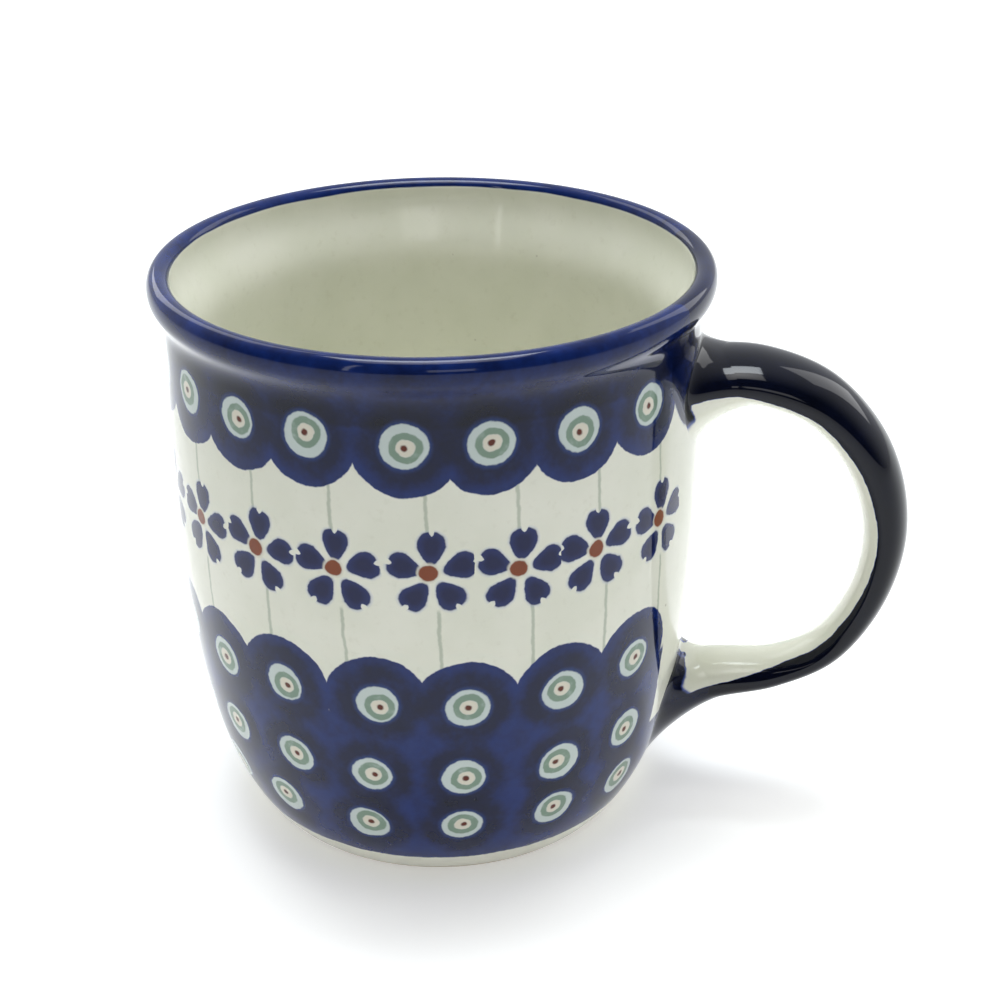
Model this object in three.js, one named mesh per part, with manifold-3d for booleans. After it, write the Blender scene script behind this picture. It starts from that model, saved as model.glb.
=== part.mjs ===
// Stoneware mug: a turned cup with a flared lip and a recessed foot, and a pulled ear handle luted on with
// slip. Millimetres, +Z up. The foot ring stands on z = 0, the handle points along +X, and the origin is
// under the middle of the mug's overall box.
import * as THREE from "three";
import { mergeVertices } from "three/addons/utils/BufferGeometryUtils.js";
import Module from "manifold-3d";

// Cup, outside
const CUP_HEIGHT = 95;
const LIP_RADIUS = 44.8;
const NECK_RADIUS = 42.6;
const NECK_DROP = 9; // from the top of the lip down to the narrowest part of the neck
const BELLY_RADIUS = 43.1;
const BELLY_HEIGHT = 58;
const FOOT_RADIUS = 32.3; // outer edge of the foot, where the wall starts to sweep out
const FOOT_EDGE = 0.4; // small bevel between the foot's flat and the wall
const SWEEP_OUT = 6.1; // how far, and how high, the wall first leaves the foot
const SWEEP_UP = 7.1;
const BELLY_EASE = 34; // length over which the wall turns upright below the belly
const NECK_RISE = 4; // how far the neck goes on upright before it turns out to the lip
const LIP_FALL = 2.7; // how far the lip's outside goes on down below its widest point

// Cup, inside
const WALL = 4.2;
const FLOOR = 6;
const LIP_WIDTH = 3.6; // across the rounded top of the lip
const LIP_OUTER_DROP = 2.4; // from the top of the lip to its widest point outside
const LIP_INNER_DROP = 1.6; // from the top of the lip to where the inner wall begins
const LIP_ROUNDNESS = 0.6; // share of the lip's corner that its round takes up
const THROAT_DROP = 14.4; // from the top of the lip to where the flared inner wall has come in
const FLOOR_RADIUS = 17.8; // out to where the floor is flat, before it sweeps up
const FLOOR_SWEEP = 17.6; // how far the sweep runs on outwards
const INNER_EASE = 30.6; // length over which the inner wall turns upright below the belly
const RECESS_DEPTH = 1.6;
const FOOT_RING_WIDTH = 4.6;

// Handle, seen from the side: r is the distance from the cup's axis
const HANDLE_REACH = 73.9; // to the middle of the clay at the widest point of the ear
const HANDLE_DROP = 17.8; // from the top of the lip down to the middle of the clay at the upper root
const HANDLE_BOTTOM = 21.6; // height of the middle of the clay at the lower root
const ROOT_DEPTH = 6; // how far the whole ear's line runs on past the wall's face, before it is cut back
const TOP_WIDTH = 16.6;
const NARROW_WIDTH = 10.6;
const BOTTOM_WIDTH = 13.6;
const TOP_THICKNESS = 8.2;
const NARROW_THICKNESS = 5.4;
const BOTTOM_THICKNESS = 9.6;
const NARROW_AT = 0.74; // share of the way from the upper root to the lower where the ear is narrowest
const THIN_FROM = 0.3; // share of the way down to which the ear keeps its top thickness
const THIN_AT = 0.72; // share of the way where it is thinnest

// Slip joints
const GAP = 0.3; // clear distance kept between pieces that touch
const SLIP_THICKNESS = 0.8; // slip between the handle's end and the wall
// Each collar's length along the handle, and its spread round the handle at the wall.
const UPPER_COLLAR = { end: 0, length: 4.2, spread: 2.2 };
const LOWER_COLLAR = { end: 1, length: 7.5, spread: 2.6 };
const COLLAR_EDGE = 0.7; // how thick a collar still is where it ends on the handle
const COLLAR_STEPS = 16;

const CUP_SEGMENTS = 64;
const CURVE_STEPS = 6; // straight steps in each curve of a turned outline
const HANDLE_SIDES = 24;
const HANDLE_STEPS = 40;

const COBALT = 0x262a5a;
const stoneware = (color) => new THREE.MeshStandardMaterial({ color, roughness: 0.12, metalness: 0 });

const wasm = await Module();
wasm.setup();

// A closed three.js geometry as a manifold-3d solid, and back.
function toSolid(geometry) {
  const bare = geometry.clone();
  bare.deleteAttribute("normal");
  bare.deleteAttribute("uv");
  const merged = mergeVertices(bare, 1e-4);
  return new wasm.Manifold(
    new wasm.Mesh({
      numProp: 3,
      vertProperties: merged.attributes.position.array,
      triVerts: new Uint32Array(merged.index.array),
    }),
  );
}

function toGeometry(solid) {
  const { vertProperties, triVerts } = solid.getMesh();
  const geometry = new THREE.BufferGeometry();
  geometry.setAttribute("position", new THREE.BufferAttribute(vertProperties, 3));
  geometry.setIndex(new THREE.BufferAttribute(triVerts, 1));
  geometry.computeVertexNormals();
  return geometry;
}

// The outer wall from the foot's edge to the lip's widest point, as a path in (radius, height). grow moves
// the wall straight out, for solids that have to stop short of it.
function outerWall(path, grow = 0) {
  const neckHeight = CUP_HEIGHT - NECK_DROP;
  path.bezierCurveTo(
    FOOT_RADIUS + SWEEP_OUT + grow,
    FOOT_EDGE + SWEEP_UP,
    BELLY_RADIUS + grow,
    BELLY_HEIGHT - BELLY_EASE,
    BELLY_RADIUS + grow,
    BELLY_HEIGHT,
  );
  path.bezierCurveTo(
    BELLY_RADIUS + grow,
    (BELLY_HEIGHT + neckHeight) / 2,
    NECK_RADIUS + grow,
    (BELLY_HEIGHT + 2 * neckHeight) / 3,
    NECK_RADIUS + grow,
    neckHeight,
  );
  path.bezierCurveTo(
    NECK_RADIUS + grow,
    neckHeight + NECK_RISE,
    LIP_RADIUS + grow,
    CUP_HEIGHT - LIP_OUTER_DROP - LIP_FALL,
    LIP_RADIUS + grow,
    CUP_HEIGHT - LIP_OUTER_DROP,
  );
}

// Turns a closed outline of (radius, height) points about the cup's axis.
function turn(points, segments) {
  return new THREE.LatheGeometry(points, segments).rotateX(Math.PI / 2);
}

function cupGeometry() {
  const outline = new THREE.Path();
  outline.moveTo(0, RECESS_DEPTH);
  outline.lineTo(FOOT_RADIUS - FOOT_RING_WIDTH - RECESS_DEPTH, RECESS_DEPTH);
  outline.lineTo(FOOT_RADIUS - FOOT_RING_WIDTH, 0);
  outline.lineTo(FOOT_RADIUS - FOOT_EDGE, 0);
  outline.lineTo(FOOT_RADIUS, FOOT_EDGE);
  outerWall(outline);
  const lipMiddle = LIP_RADIUS - LIP_WIDTH / 2;
  const innerLip = LIP_RADIUS - LIP_WIDTH;
  outline.bezierCurveTo(
    LIP_RADIUS,
    CUP_HEIGHT - (1 - LIP_ROUNDNESS) * LIP_OUTER_DROP,
    lipMiddle + (LIP_ROUNDNESS * LIP_WIDTH) / 2,
    CUP_HEIGHT,
    lipMiddle,
    CUP_HEIGHT,
  );
  outline.bezierCurveTo(
    lipMiddle - (LIP_ROUNDNESS * LIP_WIDTH) / 2,
    CUP_HEIGHT,
    innerLip,
    CUP_HEIGHT - (1 - LIP_ROUNDNESS) * LIP_INNER_DROP,
    innerLip,
    CUP_HEIGHT - LIP_INNER_DROP,
  );
  const innerNeck = NECK_RADIUS - WALL;
  const innerBelly = BELLY_RADIUS - WALL;
  outline.bezierCurveTo(
    innerLip,
    CUP_HEIGHT - NECK_DROP + LIP_FALL,
    innerNeck,
    CUP_HEIGHT - NECK_DROP,
    innerNeck,
    CUP_HEIGHT - THROAT_DROP,
  );
  outline.lineTo(innerBelly, BELLY_HEIGHT);
  outline.bezierCurveTo(
    innerBelly,
    BELLY_HEIGHT - INNER_EASE,
    FLOOR_RADIUS + FLOOR_SWEEP,
    FLOOR,
    FLOOR_RADIUS,
    FLOOR,
  );
  outline.lineTo(0, FLOOR);
  return turn(outline.getPoints(CURVE_STEPS), CUP_SEGMENTS);
}

// The space up to the cup's outer wall, grown by clearance: what the handle and the slip are cut back with.
function wallKeepOut(clearance) {
  const outline = new THREE.Path();
  outline.moveTo(0, -CUP_HEIGHT);
  outline.lineTo(FOOT_RADIUS + clearance, -CUP_HEIGHT);
  outline.lineTo(FOOT_RADIUS + clearance, FOOT_EDGE);
  outerWall(outline, clearance);
  outline.lineTo(LIP_RADIUS + clearance, 2 * CUP_HEIGHT);
  outline.lineTo(0, 2 * CUP_HEIGHT);
  return toSolid(turn(outline.getPoints(CURVE_STEPS), CUP_SEGMENTS));
}

// The outer wall's radius at a height.
function wallRadiusAt(height) {
  const side = new THREE.Path();
  side.moveTo(FOOT_RADIUS, FOOT_EDGE);
  outerWall(side);
  const points = side.getPoints(CURVE_STEPS);
  const above = points.findIndex((point) => point.y >= height);
  const [low, high] = [points[above - 1], points[above]];
  return THREE.MathUtils.mapLinear(height, low.y, high.y, low.x, high.x);
}

// Middle of the clay along the ear, from inside the wall at the upper root to inside it at the lower. Each
// pair is a share of the way out from the wall to the reach, and of the way up from the lower root to the
// upper.
function handleLine() {
  const shares = [
    [0.1, 1.004],
    [0.32, 1.0],
    [0.61, 0.94],
    [0.835, 0.81],
    [0.965, 0.65],
    [1.0, 0.48],
    [0.925, 0.29],
    [0.75, 0.125],
    [0.5, 0.04],
    [0.21, 0.005],
  ];
  const rise = CUP_HEIGHT - HANDLE_DROP - HANDLE_BOTTOM;
  const points = shares.map(([out, up]) => {
    const height = HANDLE_BOTTOM + up * rise;
    return new THREE.Vector3(THREE.MathUtils.lerp(wallRadiusAt(height), HANDLE_REACH, out), 0, height);
  });
  for (const [up, place] of [
    [0.975, 0],
    [-0.06, points.length + 1],
  ]) {
    const height = HANDLE_BOTTOM + up * rise;
    points.splice(place, 0, new THREE.Vector3(wallRadiusAt(height) - ROOT_DEPTH, 0, height));
  }
  return new THREE.CatmullRomCurve3(points, false, "centripetal");
}

// A size that keeps to top as far as the share from, eases to narrow at the share at, and goes on to bottom
// at the lower root.
function taper(along, [from, at], [top, narrow, bottom]) {
  const upper = THREE.MathUtils.smoothstep(along, from, at);
  const lower = THREE.MathUtils.smoothstep(along, at, 1);
  return top + (narrow - top) * upper + (bottom - narrow) * lower;
}

// An oval bar swept along the ear between two shares of its length. swell(along) widens it all round.
function sweptEar(line, from, to, steps, swell) {
  const bar = new THREE.CylinderGeometry(1, 1, 1, HANDLE_SIDES, steps);
  const place = bar.attributes.position;
  for (let i = 0; i < place.count; i++) {
    const along = THREE.MathUtils.lerp(from, to, 0.5 - place.getY(i));
    const middle = line.getPointAt(along);
    const tangent = line.getTangentAt(along);
    const extra = swell(along);
    const width = taper(along, [0, NARROW_AT], [TOP_WIDTH, NARROW_WIDTH, BOTTOM_WIDTH]);
    const thickness = taper(
      along,
      [THIN_FROM, THIN_AT],
      [TOP_THICKNESS, NARROW_THICKNESS, BOTTOM_THICKNESS],
    );
    const halfWidth = width / 2 + extra;
    const halfThickness = thickness / 2 + extra;
    const across = place.getX(i) * halfThickness;
    place.setXYZ(
      i,
      middle.x - tangent.z * across,
      -place.getZ(i) * halfWidth,
      middle.z + tangent.x * across,
    );
  }
  return toSolid(bar);
}

// Share of the ear's length, counted from its upper end, at which its middle leaves the wall near the given
// end.
function shareAtWall(line, end) {
  const probes = 400;
  const shares = Array.from({ length: probes + 1 }, (_, i) => Math.abs(end - i / probes));
  return shares.find((along) => {
    const middle = line.getPointAt(along);
    return middle.x > wallRadiusAt(middle.z);
  });
}

// The slip at one root: everything near the wall inside the wiped collar, less the wall and the handle.
function slipGeometry(line, { end, length, spread }) {
  const root = shareAtWall(line, end);
  const inward = end === 0 ? -1 : 1;
  const run = length / line.getLength();
  const tip = root - inward * run;
  const swell = (along) => {
    const outFromWall = THREE.MathUtils.clamp(((root - along) * inward) / run, 0, 1);
    return GAP + COLLAR_EDGE + (spread - COLLAR_EDGE) * (1 - outFromWall) ** 2;
  };
  const [from, to] = end === 0 ? [0, tip] : [tip, 1];
  const collar = sweptEar(line, from, to, COLLAR_STEPS, swell);
  const cavity = sweptEar(line, 0, 1, HANDLE_STEPS, () => GAP).subtract(
    wallKeepOut(GAP + SLIP_THICKNESS),
  );
  return toGeometry(collar.subtract(wallKeepOut(GAP)).subtract(cavity));
}

function mesh(name, geometry, color) {
  const piece = new THREE.Mesh(geometry, stoneware(color));
  piece.name = name;
  return piece;
}

const line = handleLine();
const wholeEar = sweptEar(line, 0, 1, HANDLE_STEPS, () => 0);
const handle = wholeEar.subtract(wallKeepOut(2 * GAP + SLIP_THICKNESS));

const mug = new THREE.Group();
mug.add(mesh("cup_body", cupGeometry(), COBALT));
mug.add(mesh("handle", toGeometry(handle), COBALT));
mug.add(mesh("upper_slip_joint", slipGeometry(line, UPPER_COLLAR), COBALT));
mug.add(mesh("lower_slip_joint", slipGeometry(line, LOWER_COLLAR), COBALT));

// Stand the group so that the middle of its box is over the origin.
const box = new THREE.Box3().setFromObject(mug);
mug.position.x = -(box.min.x + box.max.x) / 2;

const part = new THREE.Group();
part.add(mug);
export default part;
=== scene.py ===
"""A hand-stamped stoneware mug: the turned cup, the pulled ear handle and the slip that holds it.

Lengths in the classes are millimetres unless a comment says metres, with the cup's axis upright and the
handle on +X. Finished meshes are in metres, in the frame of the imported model.
"""

import logging
import math
from dataclasses import dataclass, field
from enum import Enum
from functools import cache

import bpy
import numpy as np
from mathutils import Matrix, Vector


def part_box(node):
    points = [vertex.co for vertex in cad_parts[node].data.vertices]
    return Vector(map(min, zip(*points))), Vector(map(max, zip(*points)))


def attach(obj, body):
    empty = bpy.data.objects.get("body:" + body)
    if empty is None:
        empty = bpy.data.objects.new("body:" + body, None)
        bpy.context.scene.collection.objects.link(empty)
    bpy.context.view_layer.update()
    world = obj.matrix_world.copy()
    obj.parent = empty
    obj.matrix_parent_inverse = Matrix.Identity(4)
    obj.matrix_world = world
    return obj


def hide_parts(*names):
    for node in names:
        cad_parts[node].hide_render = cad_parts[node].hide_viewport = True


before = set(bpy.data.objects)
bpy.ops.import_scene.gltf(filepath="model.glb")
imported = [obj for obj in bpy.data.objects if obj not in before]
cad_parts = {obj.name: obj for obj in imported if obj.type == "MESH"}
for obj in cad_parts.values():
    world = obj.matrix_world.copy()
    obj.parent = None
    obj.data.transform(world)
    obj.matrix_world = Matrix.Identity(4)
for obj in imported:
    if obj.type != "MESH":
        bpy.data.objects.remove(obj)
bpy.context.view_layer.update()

LOG = logging.getLogger("mug")
MILLI = 0.001
TURN = 2 * math.pi
FLOAT = "NodeSocketFloat"
COLOR = "NodeSocketColor"
SECTION = "section"  # attribute: cosine and sine of the angle from the bow's outer side, and share along it
OVER = "over"  # attribute: share of the way over a slip joint, from the handle to the wall
CELL = ("Across", "Up", "Away", "Luck A", "Luck B", "Luck C")  # what a stamped motif knows of a point
LIP_RUN = "lip_run"  # attribute: millimetres along the cup's outline past the crest of the lip, inwards


def paint(code: str) -> tuple[float, float, float, float]:
    """Turns a six-digit colour code into the linear colour that shader sockets take.

    Args:
        code: Red, green and blue as two hexadecimal digits each.

    Returns:
        Linear red, green and blue, and an alpha of 1.
    """
    parts = [int(code[i : i + 2], 16) / 255 for i in (0, 2, 4)]
    linear = [c / 12.92 if c <= 0.04045 else ((c + 0.055) / 1.055) ** 2.4 for c in parts]
    return (*linear, 1.0)


def put(name: str, data: bpy.types.ID) -> bpy.types.Object:
    """Makes an object and links it to the scene.

    Args:
        name: The object's name.
        data: The mesh, curve, lamp or camera that it holds.

    Returns:
        The object.
    """
    made = bpy.data.objects.new(name, data)
    bpy.context.scene.collection.objects.link(made)
    return made


# Node trees


class Wire:
    """A number on its way through a node tree, so that a formula in nodes reads as a formula."""

    def __init__(self, bench: "Bench", socket: bpy.types.NodeSocket) -> None:
        """Keeps the tree under construction and the socket that the number comes out of."""
        self.bench = bench
        self.socket = socket

    def call(self, operation: str, *others: "Wire | float") -> "Wire":
        """Adds a Math node that takes this number first.

        Args:
            operation: The node's operation.
            *others: The numbers that it takes besides.

        Returns:
            The result.
        """
        made = self.bench.add("ShaderNodeMath", operation=operation)
        for place, value in enumerate((self, *others)):
            self.bench.feed(made.inputs[place], value)
        return Wire(self.bench, made.outputs[0])

    def __add__(self, other: "Wire | float") -> "Wire":
        """Sum."""
        return self.call("ADD", other)

    def __sub__(self, other: "Wire | float") -> "Wire":
        """Difference."""
        return self.call("SUBTRACT", other)

    def __mul__(self, other: "Wire | float") -> "Wire":
        """Product."""
        return self.call("MULTIPLY", other)

    def __truediv__(self, other: "Wire | float") -> "Wire":
        """Quotient."""
        return self.call("DIVIDE", other)

    def __abs__(self) -> "Wire":
        """The number without its sign."""
        return self.call("ABSOLUTE")

    def inverse(self) -> "Wire":
        """One less this number: the mask of everywhere else."""
        return self.call("MULTIPLY_ADD", -1.0, 1.0)

    def stray(self, width: "Wire | float") -> "Wire":
        """A shift of up to half a width either way, from a number between 0 and 1."""
        return (self - 0.5) * width

    def far(self, other: "Wire") -> "Wire":
        """The distance from the origin, with this number and the other as its two sides."""
        return (self * self + other * other).call("SQRT")

    def least(self, other: "Wire | float") -> "Wire":
        """The smaller of two numbers."""
        return self.call("MINIMUM", other)

    def most(self, other: "Wire | float") -> "Wire":
        """The larger of two numbers."""
        return self.call("MAXIMUM", other)

    def rise(self, start: "Wire | float", end: "Wire | float") -> "Wire":
        """A smooth step from 0 at start to 1 at end.

        Args:
            start: The number at and below which the result is 0.
            end: The number at and above which the result is 1.

        Returns:
            The step.
        """
        made = self.bench.add("ShaderNodeMapRange", interpolation_type="SMOOTHSTEP")
        self.bench.feed(made.inputs["Value"], self)
        self.bench.feed(made.inputs["From Min"], start)
        self.bench.feed(made.inputs["From Max"], end)
        return Wire(self.bench, made.outputs[0])

    def fall(self, start: "Wire | float", end: "Wire | float") -> "Wire":
        """A smooth step from 1 at start down to 0 at end."""
        return self.rise(start, end).inverse()


class Bench:
    """A node tree under construction, with short ways to add what the trees here share."""

    def __init__(self, tree: bpy.types.NodeTree) -> None:
        """Keeps the tree."""
        self.tree = tree

    def add(self, kind: str, feeds: dict | None = None, **settings) -> bpy.types.Node:
        """Adds one node.

        Args:
            kind: The node's type name.
            feeds: Values or wires for its inputs, by socket name or number.
            **settings: The node's own options.

        Returns:
            The node.
        """
        made = self.tree.nodes.new(kind)
        for option, value in settings.items():
            setattr(made, option, value)
        for label, value in (feeds or {}).items():
            self.feed(made.inputs[label], value)
        return made

    def feed(self, socket: bpy.types.NodeSocket, value: Wire | float | tuple) -> None:
        """Links a wire to a socket, or sets the socket's own value.

        Args:
            socket: The input.
            value: A wire, or the socket's own value.
        """
        if isinstance(value, Wire):
            self.tree.links.new(value.socket, socket)
        else:
            socket.default_value = value

    def out(self, node: bpy.types.Node, label: int | str = 0) -> Wire:
        """The wire out of a node's socket."""
        return Wire(self, node.outputs[label])

    def split(self, vector: Wire) -> tuple[Wire, Wire, Wire]:
        """The three numbers of a vector or a colour."""
        made = self.add("ShaderNodeSeparateXYZ", {0: vector})
        return self.out(made, 0), self.out(made, 1), self.out(made, 2)

    def join(self, x: Wire | float, y: Wire | float, z: Wire | float) -> Wire:
        """A vector from three numbers."""
        return self.out(self.add("ShaderNodeCombineXYZ", {0: x, 1: y, 2: z}))

    def mix(self, share: Wire | float, first: Wire | tuple, second: Wire | tuple) -> Wire:
        """A colour between two colours.

        Args:
            share: 0 for the first colour, 1 for the second.
            first: The first colour.
            second: The second colour.

        Returns:
            The mixed colour.
        """
        made = self.add("ShaderNodeMix", {0: share, 6: first, 7: second}, data_type="RGBA")
        return self.out(made, 2)

    def noise(self, vector: Wire, scale: float, detail: float = 2.0, rough: float = 0.5) -> bpy.types.Node:
        """A noise texture.

        Args:
            vector: Where it is read.
            scale: How fine it is.
            detail: How many finer noises lie over it.
            rough: How strong those are.

        Returns:
            The node: output 0 is its value, output 1 three values as a colour.
        """
        feeds = {"Vector": vector, "Scale": scale, "Detail": detail, "Roughness": rough}
        return self.add("ShaderNodeTexNoise", feeds)

    def use(self, group: bpy.types.NodeTree, **feeds: Wire | float | tuple) -> dict[str, Wire]:
        """Places a shader group.

        Args:
            group: The group's tree.
            **feeds: Its inputs by name, with _ for a space.

        Returns:
            Its outputs by name.
        """
        made = self.add("ShaderNodeGroup", node_tree=group)
        for label, value in feeds.items():
            self.feed(made.inputs[label.replace("_", " ")], value)
        return {socket.name: Wire(self, socket) for socket in made.outputs}


def open_sockets(tree: bpy.types.NodeTree, side: str, kinds: dict[str, str]) -> None:
    """Gives a node group named sockets on one side.

    Args:
        tree: The group's tree.
        side: INPUT or OUTPUT.
        kinds: Socket types by name.
    """
    for label, kind in kinds.items():
        tree.interface.new_socket(name=label, in_out=side, socket_type=kind)


class Group(Bench):
    """A shader group under construction, with named inputs and outputs."""

    def __init__(self, name: str, inputs: dict[str, str], outputs: dict[str, str]) -> None:
        """Makes the empty group.

        Args:
            name: The group's name.
            inputs: Socket types by name.
            outputs: Socket types by name.
        """
        super().__init__(bpy.data.node_groups.new(name, "ShaderNodeTree"))
        open_sockets(self.tree, "INPUT", inputs)
        open_sockets(self.tree, "OUTPUT", outputs)
        entry = self.add("NodeGroupInput")
        self.given = {label: self.out(entry, label) for label in inputs}
        self.exit = self.add("NodeGroupOutput")

    def finish(self, **results: Wire) -> bpy.types.NodeTree:
        """Links the results and closes the group.

        Args:
            **results: Wires by the outputs' names, with _ for a space.

        Returns:
            The group's tree.
        """
        for label, wire in results.items():
            self.feed(self.exit.inputs[label.replace("_", " ")], wire)
        return self.tree


def object_place(bench: Bench) -> Wire:
    """The point on the object, in metres from its origin."""
    return bench.out(bench.add("ShaderNodeTexCoord"), "Object")


@cache
def chart_group() -> bpy.types.NodeTree:
    """Where a point lies round the cup and up it, strayed a little as a hand-held stamp strays.

    Returns:
        The group's tree.
    """
    group = Group("Wall chart", {"Axis": FLOAT}, {"Angle": FLOAT, "Height": FLOAT, "Radius": FLOAT})
    place = object_place(group)
    x, y, z = group.split(place)
    x = (x - group.given["Axis"]) * 1000.0
    y = y * 1000.0
    radius = x.far(y)
    drift_x, drift_z, _ = group.split(group.out(group.noise(place, 170.0, 1.0), 1))
    brush_x, brush_z, _ = group.split(group.out(group.noise(place, 1100.0, 1.0), 1))
    drift, brush = 0.8, 0.3
    aside = drift_x.stray(drift) + brush_x.stray(brush)
    above = drift_z.stray(drift) + brush_z.stray(brush)
    angle = y.call("ARCTAN2", x) + aside / radius.most(5.0)
    return group.finish(Angle=angle, Height=z * 1000.0 + above, Radius=radius)


@cache
def cell_group() -> bpy.types.NodeTree:
    """The nearest motif of a ring of motifs round the cup, or with Side 1 the next nearest one.

    Across and Up are the distances from its middle in millimetres. Luck A, B and C are that motif's own
    random numbers from 0 to 1. Away is the distance from its middle, far beyond reach where the ring leaves
    a gap for the handle.

    Returns:
        The group's tree.
    """
    point = ("Angle", "Height", "Radius")
    ring = ("Count", "Turn", "Row", "Slip", "Seed", "Side", "Gap Middle", "Gap")
    group = Group("Stamp cell", dict.fromkeys(point + ring, FLOAT), dict.fromkeys(CELL, FLOAT))
    given = group.given
    place = (given["Angle"] - given["Turn"]) * given["Count"] / TURN
    nearest = place.call("ROUND")
    index = nearest + (place - nearest).call("SIGN") * given["Side"]
    ticket = index.call("FLOORED_MODULO", given["Count"])
    draws = []
    for step in (0.0, 40.0):
        dice = group.add("ShaderNodeTexWhiteNoise", noise_dimensions="2D")
        group.feed(dice.inputs["Vector"], group.join(ticket + 0.25, given["Seed"] + step, 0.0))
        draws.extend(group.split(group.out(dice, 1)))
    pitch = (place - index) * TURN / given["Count"]
    across = pitch * given["Radius"] - draws[0].stray(2.0) * given["Slip"]
    up = given["Height"] - given["Row"] - draws[1].stray(given["Slip"])
    middle = index * TURN / given["Count"] + given["Turn"] - given["Gap Middle"]
    absent = middle.call("COSINE").call("GREATER_THAN", given["Gap"].call("COSINE"))
    away = across.far(up) + absent * 100.0
    return group.finish(Across=across, Up=up, Away=away, Luck_A=draws[2], Luck_B=draws[3], Luck_C=draws[4])


@cache
def eye_group() -> bpy.types.NodeTree:
    """The masks of one eye: its white disc, the green ring and brown dot in it, and the bleed round it.

    Returns:
        The group's tree.
    """
    outputs = ("White", "Heart", "Ring", "Dot", "Bleed")
    group = Group("Peacock eye", dict.fromkeys(CELL, FLOAT), dict.fromkeys(outputs, FLOAT))
    given = group.given
    size = given["Luck C"].stray(0.3)
    away = given["Away"] + size
    aside = given["Across"] - given["Luck A"].stray(1.0)
    above = given["Up"] - given["Luck B"].stray(1.0)
    inner = aside.far(above)
    wash = group.out(group.noise(object_place(group), 520.0, 2.0))
    ring = inner.rise(1.25, 1.5) * inner.fall(2.25, 2.55) * wash.rise(-0.1, 0.5)
    white = away.fall(3.2, 3.5)
    dot_aside = aside - given["Luck C"].stray(0.4)
    dot = dot_aside.far(above).fall(0.34, 0.68)
    return group.finish(
        White=white,
        Heart=inner.fall(1.1, 1.7) * white,
        Ring=ring * white,
        Dot=dot * white,
        Bleed=away.fall(3.3, 4.3),
    )


@cache
def blossom_group() -> bpy.types.NodeTree:
    """The masks of one five-petalled blossom: petals, the bleed round them, its heart and the clear ring.

    Returns:
        The group's tree.
    """
    outputs = ("Petal", "Bleed", "Heart", "Clearing", "Vein")
    group = Group("Blossom", dict.fromkeys(CELL, FLOAT), dict.fromkeys(outputs, FLOAT))
    given = group.given
    fifth = TURN / 5
    swing = given["Luck A"].stray(0.24)
    angle = given["Across"].call("ARCTAN2", given["Up"]) + swing + fifth / 2
    folded = angle.call("FLOORED_MODULO", fifth) - fifth / 2
    side = given["Away"] * folded.call("SINE")
    reach = given["Away"] * folded.call("COSINE") - 4.6
    half_width = reach.least(0.0) * 0.4 + 2.2
    half_length = reach.call("GREATER_THAN", 0.0) * -0.7 + 2.95
    wide, long = abs(side) / half_width, abs(reach) / half_length
    notch = (abs(side) * -1.0 + 0.5).most(0.0) * (reach - 1.2).most(0.0) * 1.7
    blunt = 2.7
    shape = (wide.call("POWER", blunt) + long.call("POWER", blunt)).call("POWER", 1 / blunt) + notch
    heart_x = given["Across"] + 0.4 + given["Luck B"].stray(0.4)
    heart_z = given["Up"] - 0.4 + given["Luck C"].stray(0.4)
    heart = heart_x.far(heart_z)
    near = given["Away"].call("LESS_THAN", 12.0)
    return group.finish(
        Petal=shape.fall(0.92, 1.04) * near,
        Bleed=shape.fall(0.98, 1.2) * near,
        Heart=heart.fall(1.2, 1.5) * near,
        Clearing=heart.fall(1.5, 1.9) * near,
        Vein=shape.fall(0.3, 0.95),
    )


@cache
def cobalt_group() -> bpy.types.NodeTree:
    """Cobalt under clear glaze, deeper and blacker the more layers of it lie over each other.

    Returns:
        The group's tree.
    """
    group = Group("Cobalt", {"Layers": FLOAT}, {"Color": COLOR})
    place = object_place(group)
    cloud = group.out(group.noise(place, 230.0, 3.0, 0.55)) - 0.5
    grain = group.out(group.noise(place, 950.0, 2.0)) - 0.5
    depth = (group.given["Layers"] - 1.0) * 0.26 + 0.3 + cloud * 0.5 + grain * 0.15
    ramp = group.add("ShaderNodeValToRGB", {0: depth})
    stops = ((0.0, "152A66"), (0.3, "0B1539"), (0.62, "070B1C"), (1.0, "030508"))
    while len(ramp.color_ramp.elements) < len(stops):
        ramp.color_ramp.elements.new(0.5)
    for element, (position, code) in zip(ramp.color_ramp.elements, stops):
        element.position = position
        element.color = paint(code)
    return group.finish(Color=group.out(ramp))


@cache
def cream_group() -> bpy.types.NodeTree:
    """The pale body seen through clear glaze, with soft clouds and a few iron specks.

    Returns:
        The group's tree.
    """
    group = Group("Cream", {}, {"Color": COLOR})
    place = object_place(group)
    cloud = group.out(group.noise(place, 75.0, 3.0)).rise(0.3, 0.7)
    base = group.mix(cloud, paint("E4E4D6"), paint("DDDECE"))
    mottle = group.out(group.noise(place, 620.0, 3.0, 0.6)).rise(0.55, 0.8) * 0.16
    mottled = group.mix(mottle, base, paint("B9B69E"))
    speck = group.add("ShaderNodeTexVoronoi", {"Vector": place, "Scale": 260.0}, feature="F1")
    chance = group.split(group.out(speck, "Color"))[0].rise(0.9, 0.96)
    mask = group.out(speck, "Distance").fall(0.03, 0.09) * chance * 0.5
    return group.finish(Color=group.mix(mask, mottled, paint("6E5B45")))


@cache
def ripple_group() -> bpy.types.NodeTree:
    """How high the glaze stands, in metres: slow waves from the hand and a fine orange peel.

    Returns:
        The group's tree.
    """
    group = Group("Glaze ripple", {"Wave": FLOAT, "Peel": FLOAT}, {"Height": FLOAT})
    place = object_place(group)
    wave = group.out(group.noise(place, 55.0, 1.0)) * group.given["Wave"]
    peel = group.out(group.noise(place, 700.0, 1.0)) * group.given["Peel"]
    return group.finish(Height=(wave + peel) * MILLI)


# Finishes


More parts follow.
